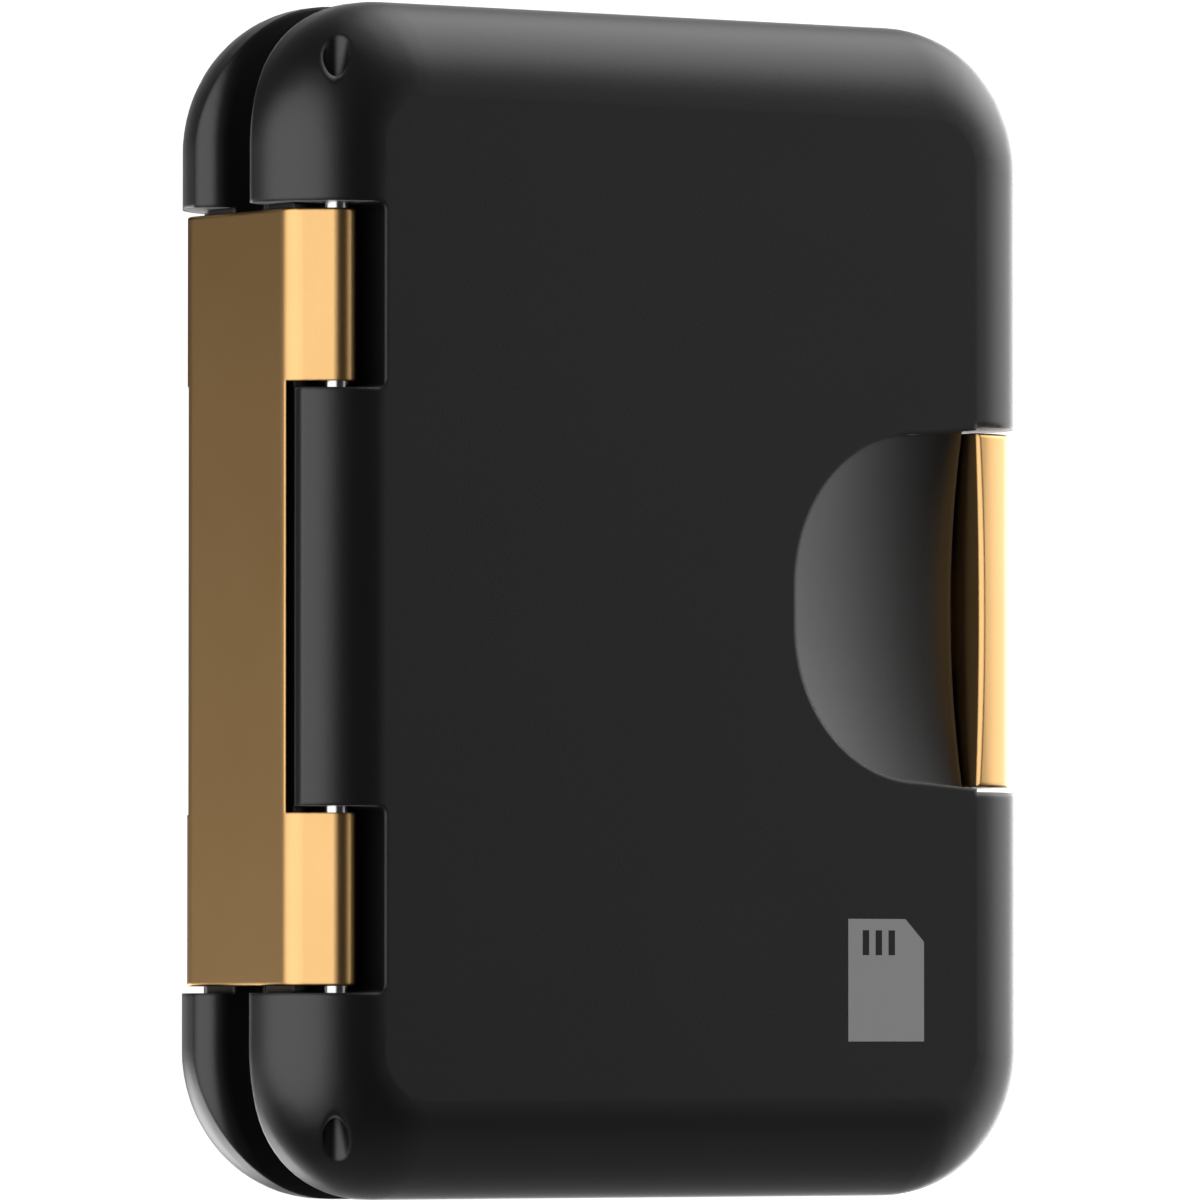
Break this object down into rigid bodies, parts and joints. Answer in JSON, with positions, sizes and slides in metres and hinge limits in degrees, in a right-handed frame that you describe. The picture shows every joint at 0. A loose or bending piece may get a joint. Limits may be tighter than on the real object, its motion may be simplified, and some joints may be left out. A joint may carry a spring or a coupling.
{
  "type": "memory card case",
  "caption": "Pocket case for memory cards: two rounded shells on a double-axis hinge spine, closed by a sprung side latch, with card trays inside.",
  "frame": {"origin": "middle of the rear face, on the surface that the closed case rests on", "axes": "+X from the hinge side to the latch side, +Y along the length of the case, +Z from the rear face to the front face"},
  "size_m": [0.08, 0.104, 0.0252],
  "materials": {
    "shell": "fine matt moulded polycarbonate, near black",
    "brass": "satin, fine bead-blasted and lacquered",
    "steel_pin": "ground and polished",
    "spring_steel": "drawn wire and rolled strip",
    "screw": "zinc-plated machine screws",
    "tray": "matt dark grey silicone rubber",
    "seal": "black silicone rubber"
  },
  "bodies": {
    "rear_half": {"rear_shell": "shell", "rear_hinge_pin_upper": "steel_pin", "rear_hinge_pin_lower": "steel_pin", "rear_card_tray": "tray", "rear_tray_screws": "screw", "rear_thread_inserts": "brass", "lid_seal": "seal", "latch_pin": "steel_pin", "latch_spring": "spring_steel"},
    "spine": {"hinge_spine": "brass"},
    "front_half": {"front_shell": "shell", "front_hinge_pin_upper": "steel_pin", "front_hinge_pin_lower": "steel_pin", "front_sd_tray": "tray", "front_microsd_tray": "tray", "front_tray_screws": "screw", "front_thread_inserts": "brass", "catch_leaf": "spring_steel", "catch_screws": "screw"},
    "latch": {"latch_lever": "brass"}
  },
  "joints": [
    {"name": "rear_hinge", "type": "hinge", "parent": "rear_half", "child": "spine", "pos_m": [-0.0345, 0, 0.0031], "axis": [0, -1, 0], "range_deg": [0, 90]},
    {"name": "front_hinge", "type": "hinge", "parent": "spine", "child": "front_half", "pos_m": [-0.0345, 0, 0.0221], "axis": [0, -1, 0], "range_deg": [0, 90]},
    {"name": "latch_pivot", "type": "hinge", "parent": "rear_half", "child": "latch", "pos_m": [0.0352, 0, 0.0036], "axis": [0, 1, 0], "range_deg": [0, 40], "stiffness_Nm_per_rad": 0.01, "springref_deg": -34.38, "deforming": ["latch_spring"]}
  ]
}
